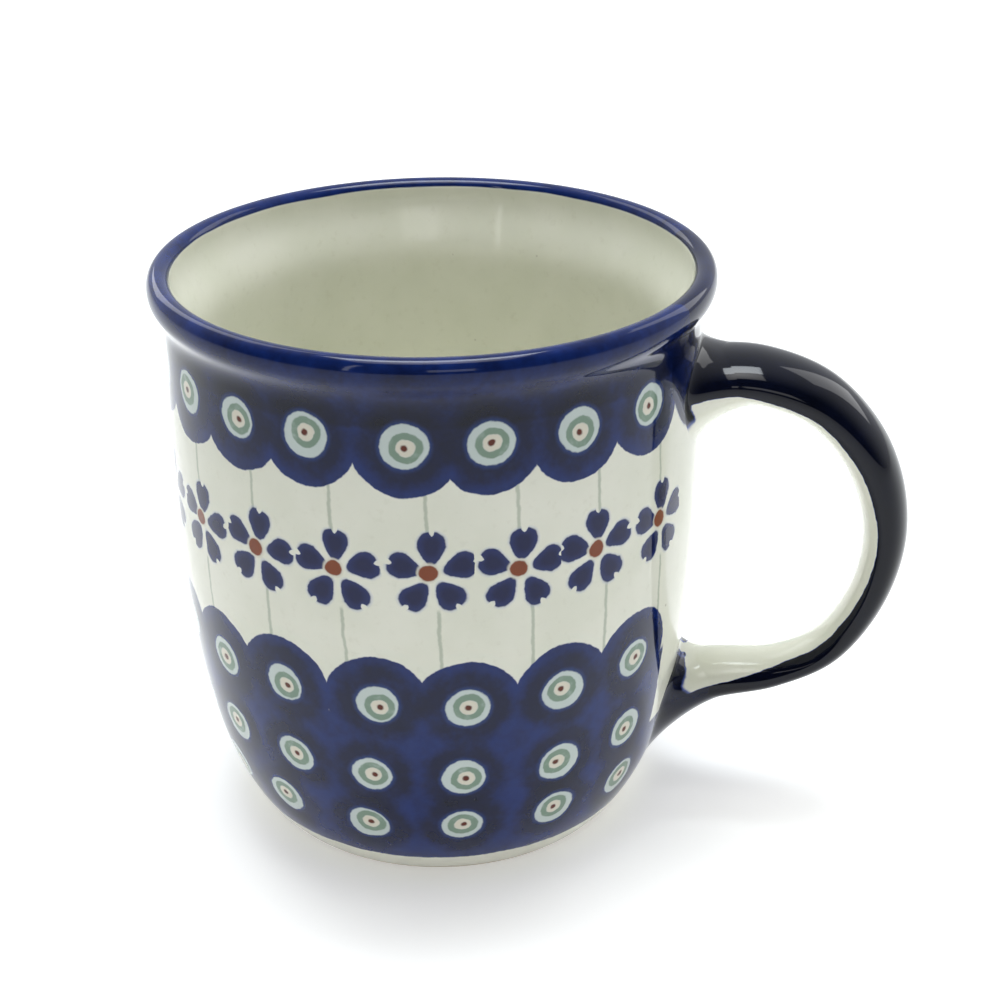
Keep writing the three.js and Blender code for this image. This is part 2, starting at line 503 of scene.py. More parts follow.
@dataclass(frozen=True)
class Glaze:
    """Clear glaze over paint: what the light does on it."""

    roughness: float = 0.06
    ior: float = 1.34
    wave: float = 0.05
    peel: float = 0.0022

    def material(self, name: str) -> tuple[bpy.types.Material, Bench, bpy.types.Node]:
        """Starts a glazed material.

        Args:
            name: The material's name.

        Returns:
            The material, its tree under construction and its Principled shader.
        """
        made = bpy.data.materials.new(name)
        made.use_nodes = True
        bench = Bench(made.node_tree)
        bench.tree.nodes.clear()
        shader = bench.add("ShaderNodeBsdfPrincipled")
        shader.inputs["Roughness"].default_value = self.roughness
        shader.inputs["IOR"].default_value = self.ior
        ripple = bench.use(ripple_group(), Wave=self.wave, Peel=self.peel)
        bump = bench.add("ShaderNodeBump", {"Height": ripple["Height"], "Distance": 1.0})
        bench.feed(shader.inputs["Normal"], bench.out(bump))
        end = bench.add("ShaderNodeOutputMaterial")
        bench.feed(end.inputs["Surface"], bench.out(shader))
        return made, bench, shader


@dataclass(frozen=True)
class Stamps:
    """One ring of stamped motifs round the cup."""

    height: float
    count: int
    turn: float  # degrees from the handle to one motif of the ring
    slip: float  # how far a motif strays from its place
    seed: float
    disc: float = 8.1  # radius of the blue disc under an eye


class Ring(Enum):
    """The rings of stamps, from the lip down: height, count, turn, slip, seed and disc."""

    TOP_EYES = Stamps(81.6, 20, -87.2, 0.7, 3.0, 8.0)
    BLOSSOMS = Stamps(61.0, 20, -82.6, 0.8, 7.0)
    UPPER_EYES = Stamps(38.2, 18, -74.8, 1.0, 11.0, 8.4)
    MIDDLE_EYES = Stamps(24.2, 18, -74.8, 1.0, 5.0)
    LOWER_EYES = Stamps(13.1, 16, -76.7, 0.8, 9.0)


@dataclass(frozen=True)
class CupFinish:
    """The stamped and banded decoration of the cup, under its glaze."""

    glaze: Glaze = Glaze()
    band_foot: float = 84.2  # the dark band covers the neck down to here
    lip_edge: float = 2.3  # how far past the crest of the lip the blue runs inwards
    field_foot: float = 4.4  # the blue field stops here, above the foot
    field_top: float = 37.0
    bare_foot: float = 0.8  # below this the clay is wiped bare
    bare_roughness: float = 0.7  # how much rougher the bare clay is than the glaze
    gap_middle: float = -3.5  # degrees: the rings leave a gap for the handle here
    gap_motifs: float = 22.0  # degrees to each side without motifs
    gap_field: float = 19.0  # degrees to each side without the blue field
    root_height: float = 20.5  # under the handle's lower root the field closes again
    collar_width: float = 17.5  # the blue collar painted on the wall round the upper root
    collar_fall: float = 15.0

    def cell(self, bench: Bench, chart: dict[str, Wire], ring: Ring, side: float = 0.0) -> dict[str, Wire]:
        """The nearest motif of a ring, or the next nearest with side 1.

        Args:
            bench: The material's tree.
            chart: The point's place on the wall.
            ring: Which ring.
            side: 0 or 1.

        Returns:
            The motif's cell.
        """
        stamps = ring.value
        return bench.use(
            cell_group(),
            Angle=chart["Angle"],
            Height=chart["Height"],
            Radius=chart["Radius"],
            Count=float(stamps.count),
            Turn=math.radians(stamps.turn),
            Row=stamps.height,
            Slip=stamps.slip,
            Seed=stamps.seed,
            Side=side,
            Gap_Middle=math.radians(self.gap_middle),
            Gap=math.radians(self.gap_motifs),
        )

    def discs(self, bench: Bench, chart: dict[str, Wire], ring: Ring) -> tuple[Wire, Wire, dict[str, Wire]]:
        """The blue discs of a ring of eyes.

        Args:
            bench: The material's tree.
            chart: The point's place on the wall.
            ring: Which ring.

        Returns:
            How many discs lie over the point, whether one does, and the nearest motif's cell.
        """
        own = self.cell(bench, chart, ring)
        other = self.cell(bench, chart, ring, 1.0)
        edge = ring.value.disc
        layers = own["Away"].fall(edge - 3.0, edge) + other["Away"].fall(edge - 3.0, edge)
        cover = own["Away"].least(other["Away"]).fall(edge - 0.16, edge + 0.16)
        return layers, cover, own

    def upper_blue(self, bench: Bench, chart: dict[str, Wire]) -> tuple[Wire, Wire, dict[str, Wire]]:
        """The dark neck band, the collar round the handle's upper root and the top discs.

        Args:
            bench: The material's tree.
            chart: The point's place on the wall.

        Returns:
            Their mask, how many layers lie over the point, and the nearest eye's cell.
        """
        angle, height = chart["Angle"], chart["Height"]
        band = height.rise(self.band_foot - 0.5, self.band_foot + 0.5)
        beside = angle.call("SINE") * chart["Radius"] / self.collar_width
        below = (height * -1.0 + self.band_foot).most(0.0) / self.collar_fall
        near_root = angle.call("COSINE").call("GREATER_THAN", 0.0)
        collar = (beside * beside + below * below).fall(0.96, 1.04) * near_root
        layers, cover, own = self.discs(bench, chart, Ring.TOP_EYES)
        return band.most(cover).most(collar), (band + collar) * 0.8 + layers, own

    def field(self, bench: Bench, chart: dict[str, Wire]) -> tuple[Wire, list[tuple[Wire, dict[str, Wire]]]]:
        """The blue field of the lower half, which stays open behind the handle.

        Args:
            bench: The material's tree.
            chart: The point's place on the wall.

        Returns:
            Its mask, and the layers and the nearest eye's cell of each of its rings.
        """
        height = chart["Height"]
        rings = [
            self.discs(bench, chart, ring) for ring in (Ring.UPPER_EYES, Ring.MIDDLE_EYES, Ring.LOWER_EYES)
        ]
        from_gap = chart["Angle"] - math.radians(self.gap_middle)
        inner, outer = (math.cos(math.radians(self.gap_field + step)) for step in (0.3, -0.3))
        off_gap = from_gap.call("COSINE").fall(inner, outer)
        open_field = height.fall(self.field_top - 2.0, self.field_top) * off_gap
        under_root = height.fall(self.root_height - 0.4, self.root_height + 0.4)
        cover = open_field.most(under_root).most(rings[0][1])
        above_foot = height.rise(self.field_foot - 0.12, self.field_foot + 0.12)
        return cover * above_foot, [(layers, own) for layers, _, own in rings]

    @staticmethod
    def stems(bloom: dict[str, Wire]) -> Wire:
        """The mask of the fine stems over and under the blossoms.

        Args:
            bloom: The nearest blossom's cell.

        Returns:
            The mask.
        """
        over = bloom["Up"].call("GREATER_THAN", 0.0)
        shift = bloom["Luck B"].stray(1.2) + over.inverse() * (bloom["Luck C"] * -1.7)
        aside = abs(bloom["Across"] + shift + bloom["Up"] * 0.02)
        present = bloom["Away"].call("LESS_THAN", 60.0)
        ends = abs(bloom["Up"]).rise(5.6, 6.6) * abs(bloom["Up"]).fall(23.0, 24.0)
        return aside.fall(0.1, 0.42) * ends * present

    def colour(self, bench: Bench, axis: float) -> tuple[Wire, Wire]:
        """Builds the whole decoration.

        Args:
            bench: The material's tree.
            axis: The cup axis's X, in metres.

        Returns:
            The colour, and the mask of bare clay.
        """
        chart = bench.use(chart_group(), Axis=axis)
        lip_run = bench.out(bench.add("ShaderNodeAttribute", attribute_name=LIP_RUN), "Fac")
        stray = bench.out(bench.noise(object_place(bench), 90.0, 2.0)) - 0.5
        outside = (lip_run + stray * 0.5).fall(self.lip_edge - 0.15, self.lip_edge + 0.2)
        upper, layers, top_eye = self.upper_blue(bench, chart)
        field_cover, rings = self.field(bench, chart)
        blue = upper.most(field_cover) * outside
        for ring_layers, _ in rings:
            layers = layers + ring_layers
        # Fewer layers over the top of the lip make the cobalt lighter there: partly the glaze thinning over
        # the edge, partly a painted highlight on the lip's lit top.
        cobalt = bench.use(cobalt_group(), Layers=layers + lip_run.rise(-6.0, -2.0) * -0.4)["Color"]
        cream = bench.use(cream_group())["Color"]

        bloom = self.cell(bench, chart, Ring.BLOSSOMS)
        petals = bench.use(blossom_group(), **self._own(bloom))
        clear = blue.inverse() * outside
        petal_blue = bench.mix(petals["Vein"], paint("1E2A5E"), paint("141B44"))
        coats = [
            (self.stems(bloom) * outside * 0.5, paint("7F9079")),
            (blue, paint("3A4684")),
            (blue.rise(0.3, 1.0), cobalt),
            (petals["Bleed"] * clear * 0.3, paint("8A9CC4")),
            (petals["Petal"] * clear, petal_blue),
            (petals["Clearing"] * clear * 0.85, paint("D6D3C3")),
            (petals["Heart"] * clear, paint("7E3F22")),
        ]
        for own in (top_eye, *(own for _, own in rings)):
            eye = bench.use(eye_group(), **self._own(own))
            coats += [
                (eye["Bleed"] * blue * 0.5, paint("27458A")),
                (eye["White"] * blue, paint("BFCAC6")),
                (eye["Heart"] * blue, paint("D5D0C0")),
                (eye["Ring"] * blue * 0.95, paint("748C7A")),
                (eye["Dot"] * blue, paint("5A2416")),
            ]
        bare = chart["Height"].fall(self.bare_foot - 0.3, self.bare_foot + 0.3)
        colour = cream
        for share, coat in (*coats, (bare, paint("C9C4B8"))):
            colour = bench.mix(share, colour, coat)
        return colour, bare

    @staticmethod
    def _own(cell: dict[str, Wire]) -> dict[str, Wire]:
        """A cell's outputs, as a motif group takes them."""
        return {label.replace(" ", "_"): wire for label, wire in cell.items()}

    def build(self, axis: float) -> bpy.types.Material:
        """Makes the cup's material.

        Args:
            axis: The cup axis's X, in metres.

        Returns:
            The material.
        """
        made, bench, shader = self.glaze.material("Stamped cup glaze")
        colour, bare = self.colour(bench, axis)
        bench.feed(shader.inputs["Base Color"], colour)
        bench.feed(shader.inputs["Roughness"], bare * self.bare_roughness + self.glaze.roughness)
        return made


def brushed(bench: Bench, blue: Wire, layers: float) -> Wire:
    """Cobalt brushed over the cream, which it bleeds into at its edge.

    Args:
        bench: The material's tree.
        blue: The mask of the brush.
        layers: How many layers of cobalt.

    Returns:
        The colour.
    """
    cobalt = bench.use(cobalt_group(), Layers=layers)["Color"]
    cream = bench.use(cream_group())["Color"]
    bled = bench.mix(blue.rise(0.0, 0.5), cream, paint("4E5FA0"))
    return bench.mix(blue.rise(0.35, 1.0), bled, cobalt)


@dataclass(frozen=True)
class HandleFinish:
    """Blue brushed over the bow of the handle, cream left on its inner side."""

    glaze: Glaze = Glaze(wave=0.06)
    layers: float = 2.6

    def edge(self, along: Wire) -> Wire:
        """Where the brush stopped.

        Args:
            along: The share of the way along the handle.

        Returns:
            The cosine of the angle from the bow's outer side.
        """
        open_side = along.rise(0.0, 0.2) * -0.36 - 0.02
        bow = along.rise(0.42, 0.72) * -0.38
        closing = along.rise(0.74, 0.9) * 0.64
        return open_side + bow + closing

    def masks(self, bench: Bench) -> tuple[Wire, Wire]:
        """Where the bow is blue.

        Args:
            bench: The material's tree.

        Returns:
            The mask, and the cosine of the angle from the bow's outer side.
        """
        section = bench.out(bench.add("ShaderNodeAttribute", attribute_name=SECTION), "Vector")
        cosine, _, along = bench.split(section)
        place = object_place(bench)
        stray = bench.out(bench.noise(place, 160.0, 2.0)) - 0.5
        bristle = bench.out(bench.noise(place, 700.0, 2.0)) - 0.5
        wavy = cosine + stray * 0.16 + bristle * 0.07
        return (wavy - self.edge(along)).rise(-0.025, 0.025), cosine

    def build(self) -> bpy.types.Material:
        """Makes the handle's material.

        Returns:
            The material.
        """
        made, bench, shader = self.glaze.material("Brushed handle glaze")
        blue, _ = self.masks(bench)
        bench.feed(shader.inputs["Base Color"], brushed(bench, blue, self.layers))
        return made


class Root(Enum):
    """The two places where the handle is luted to the wall, by the share along the handle."""

    UPPER = 0.0
    LOWER = 1.0


@dataclass(frozen=True)
class JointFinish:
    """Blue brushed into the crease where the handle meets the wall."""

    root: Root
    glaze: Glaze = Glaze(wave=0.08)
    upper_layers: float = 2.4
    lower_layers: float = 1.9

    def crease(self, bench: Bench, cosine: Wire) -> Wire:
        """Where the brush ran round the root.

        Args:
            bench: The material's tree.
            cosine: The cosine of the angle from the bow's outer side.

        Returns:
            The mask.
        """
        over = bench.out(bench.add("ShaderNodeAttribute", attribute_name=OVER), "Fac")
        stray = bench.out(bench.noise(object_place(bench), 300.0, 2.0)) - 0.5
        if self.root is Root.UPPER:
            return (over + stray * 0.12).rise(0.72, 0.78) * (cosine + stray * 0.15).rise(-0.75, -0.45)
        line = (over + stray * 0.3).rise(0.42, 0.5) * (cosine + stray * 0.5).rise(-1.0, -0.92)
        return line.most((cosine + over * 1.6 + stray * 0.2).rise(0.35, 0.55))

    def build(self) -> bpy.types.Material:
        """Makes a slip joint's material.

        Returns:
            The material.
        """
        made, bench, shader = self.glaze.material(f"{self.root.name.capitalize()} root glaze")
        bow, cosine = HandleFinish().masks(bench)
        layers = self.upper_layers if self.root is Root.UPPER else self.lower_layers
        bench.feed(shader.inputs["Base Color"], brushed(bench, bow.most(self.crease(bench, cosine)), layers))
        return made


# Shapes


def bezier(points: list[tuple[float, float]], steps: int) -> list[tuple[float, float]]:
    """Points along a cubic curve in (radius, height), without its first one.

    Args:
        points: Start, two control points and end.
        steps: How many points to make.

    Returns:
        The points, ending at the curve's end.
    """
    corners = np.array(points)
    share = np.linspace(0.0, 1.0, steps + 1)[1:, None]
    rest = 1.0 - share
    weights = (rest**3, 3 * rest**2 * share, 3 * rest * share**2, share**3)
    return [tuple(point) for point in sum(weight * corner for weight, corner in zip(weights, corners))]


def straight(start: tuple[float, float], end: tuple[float, float], steps: int) -> list[tuple[float, float]]:
    """Points along a straight line, without its first one.

    Args:
        start: One end.
        end: The other end.
        steps: How many points to make.

    Returns:
        The points, ending at the line's end.
    """
    return [tuple(np.array(start) + (np.array(end) - start) * (i + 1) / steps) for i in range(steps)]


def poly_curve(name: str, points: list[tuple[float, float, float]]) -> bpy.types.Object:
    """A curve object of one open polyline, linked to the scene.

    Args:
        name: The object's name.
        points: Its points, in metres.

    Returns:
        The object.
    """
    data = bpy.data.curves.new(name, "CURVE")
    data.dimensions = "3D"
    spline = data.splines.new("POLY")
    spline.points.add(len(points) - 1)
    for place, point in zip(spline.points, points):
        place.co = (*point, 1.0)
    return put(name, data)


def grow(
    host: bpy.types.Object, tree: bpy.types.NodeTree, sizes: dict[str, object], name: str
) -> bpy.types.Object:
    """Runs a geometry tree on a curve and keeps the result as a plain mesh.

    Args:
        host: The curve object, which is removed afterwards.
        tree: The geometry tree.
        sizes: The tree's inputs by name.
        name: The new object's name.

    Returns:
        The new mesh object, facing outwards.
    """
    modifier = host.modifiers.new(tree.name, "NODES")
    modifier.node_group = tree
    inputs = {item.name: item.identifier for item in tree.interface.items_tree if item.in_out == "INPUT"}
    for label, value in sizes.items():
        modifier[inputs[label]] = value
    bpy.context.view_layer.update()
    depsgraph = bpy.context.evaluated_depsgraph_get()
    data = bpy.data.meshes.new_from_object(
        host.evaluated_get(depsgraph), preserve_all_data_layers=True, depsgraph=depsgraph
    )
    bpy.data.objects.remove(host)
    data.name = name
    face_outwards(data)
    return put(name, data)


def read_places(data: bpy.types.Mesh) -> np.ndarray:
    """The places of a mesh's points, one row each.

    Args:
        data: The mesh.

    Returns:
        The places, in the mesh's own units.
    """
    places = np.empty(len(data.vertices) * 3)
    data.vertices.foreach_get("co", places)
    return places.reshape(-1, 3)


def face_outwards(data: bpy.types.Mesh) -> None:
    """Turns a closed mesh's faces round if it holds a negative volume.

    Args:
        data: The mesh.
    """
    data.calc_loop_triangles()
    corners = np.empty(len(data.loop_triangles) * 3, dtype=np.int32)
    data.loop_triangles.foreach_get("vertices", corners)
    a, b, c = read_places(data)[corners.reshape(-1, 3)].transpose(1, 0, 2)
    if np.einsum("ij,ij->", a, np.cross(b, c)) < 0:
        data.flip_normals()


class GeometryBench(Bench):
    """A geometry tree under construction: a grid whose points are placed by a rule."""

    def __init__(self, name: str, inputs: dict[str, str]) -> None:
        """Makes the tree, which takes a curve and gives back a mesh.

        Args:
            name: The tree's name.
            inputs: Socket types of its sizes by name.
        """
        super().__init__(bpy.data.node_groups.new(name, "GeometryNodeTree"))
        passed = {"Geometry": "NodeSocketGeometry"}
        open_sockets(self.tree, "INPUT", passed | inputs)
        open_sockets(self.tree, "OUTPUT", passed)
        entry = self.add("NodeGroupInput")
        self.given = {label: self.out(entry, label) for label in passed | inputs}
        self.exit = self.add("NodeGroupOutput")

    def grid(self, columns: Wire, rows: Wire) -> tuple[Wire, Wire, Wire]:
        """A grid mesh.

        Args:
            columns: How many points it is wide.
            rows: How many points it is long.

        Returns:
            The mesh, and the column and the row of each of its points.
        """
        mesh = self.out(self.add("GeometryNodeMeshGrid", {"Vertices X": columns, "Vertices Y": rows}))
        index = self.out(self.add("GeometryNodeInputIndex"))
        column = ((index + 0.5) / rows).call("FLOOR")
        return mesh, column, index - column * rows

    def sample(self, value: Wire, index: Wire, kind: str = "FLOAT_VECTOR") -> Wire:
        """A value of the host curve at one of its points.

        Args:
            value: What is read.
            index: The point's number.
            kind: The value's type.

        Returns:
            The value there.
        """
        node = self.add("GeometryNodeSampleIndex", data_type=kind, domain="POINT", clamp=True)
        for label, wire in {"Geometry": self.given["Geometry"], "Value": value, "Index": index}.items():
            self.feed(node.inputs[label], wire)
        return self.out(node)

    def store(self, mesh: Wire, name: str, value: Wire, kind: str) -> Wire:
        """Keeps a value at each point under a name.

        Args:
            mesh: The mesh.
            name: The attribute's name.
            value: What is kept.
            kind: The value's type.

        Returns:
            The mesh with the attribute.
        """
        node = self.add("GeometryNodeStoreNamedAttribute", data_type=kind, domain="POINT")
        for label, given in {"Geometry": mesh, "Name": name, "Value": value}.items():
            self.feed(node.inputs[label], given)
        return self.out(node)

    def finish(self, mesh: Wire, place: Wire, merge: float = 1e-6) -> bpy.types.NodeTree:
        """Places the grid's points, closes its seam and poles, and dresses it.

        Args:
            mesh: The grid.
            place: Where each of its points goes.
            merge: Points nearer than this many metres become one.

        Returns:
            The tree.
        """
        placed = self.out(self.add("GeometryNodeSetPosition", {"Geometry": mesh, "Position": place}))
        closed = self.out(self.add("GeometryNodeMergeByDistance", {"Geometry": placed, "Distance": merge}))
        smooth = self.out(self.add("GeometryNodeSetShadeSmooth", {"Geometry": closed}))
        real = self.out(self.add("GeometryNodeRealizeInstances", {"Geometry": smooth}))
        dressed = self.add("GeometryNodeSetMaterial", {"Geometry": real, "Material": self.given["Material"]})
        self.feed(self.exit.inputs[0], self.out(dressed))
        return self.tree


def turned_wall_tree() -> bpy.types.NodeTree:
    """Turns an outline in (radius, height) once round an upright axis.

    Returns:
        The geometry tree.
    """
    sizes = {
        "Segments": "NodeSocketInt",
        "Rows": "NodeSocketInt",
        "Axis": FLOAT,
        "Crest": FLOAT,
        "Material": "NodeSocketMaterial",
    }
    bench = GeometryBench("Turned wall", sizes)
    given = bench.given
    mesh, column, row = bench.grid(given["Segments"] + 1.0, given["Rows"])
    place = bench.sample(bench.out(bench.add("GeometryNodeInputPosition")), row)
    run = bench.sample(bench.out(bench.add("GeometryNodeSplineParameter"), "Length"), row, "FLOAT")
    radius, _, height = bench.split(place)
    turn = column / given["Segments"] * TURN
    stored = bench.store(mesh, LIP_RUN, run * 1000.0 - given["Crest"], "FLOAT")
    x = radius * turn.call("COSINE") + given["Axis"]
    return bench.finish(stored, bench.join(x, radius * turn.call("SINE"), height))


def swept_grip_tree() -> bpy.types.NodeTree:
    """Sweeps an oval along a curve in the XZ plane and closes both its ends.

    Its width eases from the top size to the narrow one as far as Narrow At. Its thickness keeps to the top
    size as far as Thin From and eases to the narrow one as far as Thin At. Both then ease to the bottom size.

    Returns:
        The geometry tree.
    """
    stations = ("Top", "Narrow", "Bottom")
    sizes = {f"{station} {kind}": FLOAT for kind in ("Width", "Thickness") for station in stations}
    shares = dict.fromkeys(("Narrow At", "Thin From", "Thin At"), FLOAT)
    counts = {"Sides": "NodeSocketInt", "Rows": "NodeSocketInt", "Material": "NodeSocketMaterial"}
    bench = GeometryBench("Swept grip", sizes | shares | counts)
    given = bench.given
    mesh, column, row = bench.grid(given["Sides"] + 1.0, given["Rows"] + 2.0)
    index = (row - 1.0).most(0.0).least(given["Rows"] - 1.0)
    place = bench.sample(bench.out(bench.add("GeometryNodeInputPosition")), index)
    heading = bench.sample(bench.out(bench.add("GeometryNodeInputTangent")), index)
    along = bench.sample(bench.out(bench.add("GeometryNodeSplineParameter"), "Factor"), index, "FLOAT")
    x, _, z = bench.split(place)
    run, _, climb = bench.split(heading)
    cap = row.call("LESS_THAN", 0.5).most(row.call("GREATER_THAN", given["Rows"] + 0.5)).inverse()

    def half(kind: str, start: Wire | float, turn_at: Wire) -> Wire:
        """Half the width or thickness at each row.

        Args:
            kind: Width or Thickness.
            start: The share of the way to which it keeps its top size.
            turn_at: The share of the way where it is narrowest.

        Returns:
            The half, and 0 at both ends.
        """
        top, narrow, bottom = (given[f"{station} {kind}"] for station in stations)
        eased = (narrow - top) * along.rise(start, turn_at) + (bottom - narrow) * along.rise(turn_at, 1.0)
        return (top + eased) * 0.5 * cap

    turn = column / given["Sides"] * TURN
    cosine, sine = turn.call("COSINE"), turn.call("SINE")
    out = half("Thickness", given["Thin From"], given["Thin At"]) * cosine
    aside = half("Width", 0.0, given["Narrow At"]) * sine
    stored = bench.store(mesh, SECTION, bench.join(cosine, sine, along), "FLOAT_VECTOR")
    return bench.finish(stored, bench.join(x - climb * out, aside, z + run * out))


@dataclass
class Cup:
    """The turned cup: an outline of arcs and eases, swept round the axis."""

    height: float = 95.0
    lip_radius: float = 44.8
    neck_radius: float = 42.6
    neck_drop: float = 9.0
    belly_radius: float = 43.1
    belly_height: float = 58.0
    foot_radius: float = 32.3
    foot_edge: float = 0.4
    sweep_out: float = 6.1
    sweep_up: float = 7.1
    belly_ease: float = 34.0
    neck_rise: float = 4.0
    lip_fall: float = 2.7
    wall: float = 4.2
    floor: float = 6.0
    lip_width: float = 3.6
    lip_outer_drop: float = 2.4
    lip_inner_drop: float = 1.6
    lip_roundness: float = 0.6
    throat_drop: float = 14.4
    floor_radius: float = 17.8
    floor_sweep: float = 17.6
    inner_ease: float = 30.6
    recess_depth: float = 1.6
    foot_ring_width: float = 4.6
    segments: int = 288
    finish: CupFinish = field(default_factory=CupFinish)

    def __post_init__(self) -> None:
        """Takes the axis's place from the frame, in metres."""
        low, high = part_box("cup_body")
        self.axis = (low.x + high.x) / 2

    def outer_wall(self) -> list[tuple[float, float]]:
        """The outside from the foot's edge to the lip's widest point.

        Returns:
            The points as (radius, height).
        """
        foot, belly, neck, lip = self.foot_radius, self.belly_radius, self.neck_radius, self.lip_radius
        swell, throat = self.belly_height, self.height - self.neck_drop
        widest = self.height - self.lip_outer_drop
        start = (foot, self.foot_edge)
        rising = [
            start,
            (foot + self.sweep_out, self.foot_edge + self.sweep_up),
            (belly, swell - self.belly_ease),
            (belly, swell),
        ]
        closing = [
            (belly, swell),
            (belly, (swell + throat) / 2),
            (neck, (swell + 2 * throat) / 3),
            (neck, throat),
        ]
        flaring = [
            (neck, throat),
            (neck, throat + self.neck_rise),
            (lip, widest - self.lip_fall),
            (lip, widest),
        ]
        return [start, *bezier(rising, steps=54), *bezier(closing, steps=20), *bezier(flaring, steps=16)]

    def lip(self) -> tuple[list[tuple[float, float]], list[tuple[float, float]]]:
        """The rounded top of the lip: outside up to its crest, and crest down to the inner wall.

        Returns:
            The points of both stretches as (radius, height).
        """
        middle = self.lip_radius - self.lip_width / 2
        inner = self.lip_radius - self.lip_width
        crest = (middle, self.height)
        bulge = self.lip_roundness * self.lip_width / 2
        rest = 1 - self.lip_roundness
        outside = [
            (self.lip_radius, self.height - self.lip_outer_drop),
            (self.lip_radius, self.height - rest * self.lip_outer_drop),
            (middle + bulge, self.height),
            crest,
        ]
        inside = [
            crest,
            (middle - bulge, self.height),
            (inner, self.height - rest * self.lip_inner_drop),
            (inner, self.height - self.lip_inner_drop),
        ]
        return bezier(outside, steps=10), bezier(inside, steps=9)

    def inner_wall(self) -> list[tuple[float, float]]:
        """The inside from under the lip down to the middle of the floor.

        Returns:
            The points as (radius, height).
        """
        inner_lip = self.lip_radius - self.lip_width
        neck = self.neck_radius - self.wall
        belly = (self.belly_radius - self.wall, self.belly_height)
        throat = (neck, self.height - self.throat_drop)
        edge = (self.floor_radius, self.floor)
        under_lip = [
            (inner_lip, self.height - self.lip_inner_drop),
            (inner_lip, self.height - self.neck_drop + self.lip_fall),
            (neck, self.height - self.neck_drop),
            throat,
        ]
        sweep = [
            belly,
            (belly[0], self.belly_height - self.inner_ease),
            (self.floor_radius + self.floor_sweep, self.floor),
            edge,
        ]
        return [
            *bezier(under_lip, steps=20),
            *straight(throat, belly, steps=10),
            *bezier(sweep, steps=40),
            *straight(edge, (0.0, self.floor), steps=8),
        ]

    def outline(self) -> tuple[list[tuple[float, float]], float]:
        """The whole closed outline, and the length of it up to the crest of the lip.

        Returns:
            The points as (radius, height), and the length in millimetres.
        """
        ring = self.foot_radius - self.foot_ring_width
        shoulder = (ring - self.recess_depth, self.recess_depth)
        points = [(0.0, self.recess_depth)]
        points += straight(points[0], shoulder, steps=10)
        points += straight(shoulder, (ring, 0.0), steps=3)
        points += straight((ring, 0.0), (self.foot_radius - self.foot_edge, 0.0), steps=3)
        points += self.outer_wall()
        rise, fall = self.lip()
        points += rise
        crest = sum(math.dist(a, b) for a, b in zip(points, points[1:]))
        return points + fall + self.inner_wall(), crest

    def radius_at(self, height: np.ndarray | float) -> np.ndarray | float:
        """The outer wall's radius at a height, both in millimetres."""
        points = np.array(self.outer_wall())
        return np.interp(height, points[:, 1], points[:, 0])

    def build(self) -> bpy.types.Object:
        """Turns the cup and dresses it.

        Returns:
            The cup.
        """
        points, crest = self.outline()
        host = poly_curve("cup outline", [(radius * MILLI, 0.0, height * MILLI) for radius, height in points])
        sizes = {
            "Segments": self.segments,
            "Rows": len(points),
            "Axis": self.axis,
            "Crest": crest,
            "Material": self.finish.build(self.axis),
        }
        piece = grow(host, turned_wall_tree(), sizes, "turned_cup")
        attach(piece, "root")
        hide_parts("cup_body")
        return piece


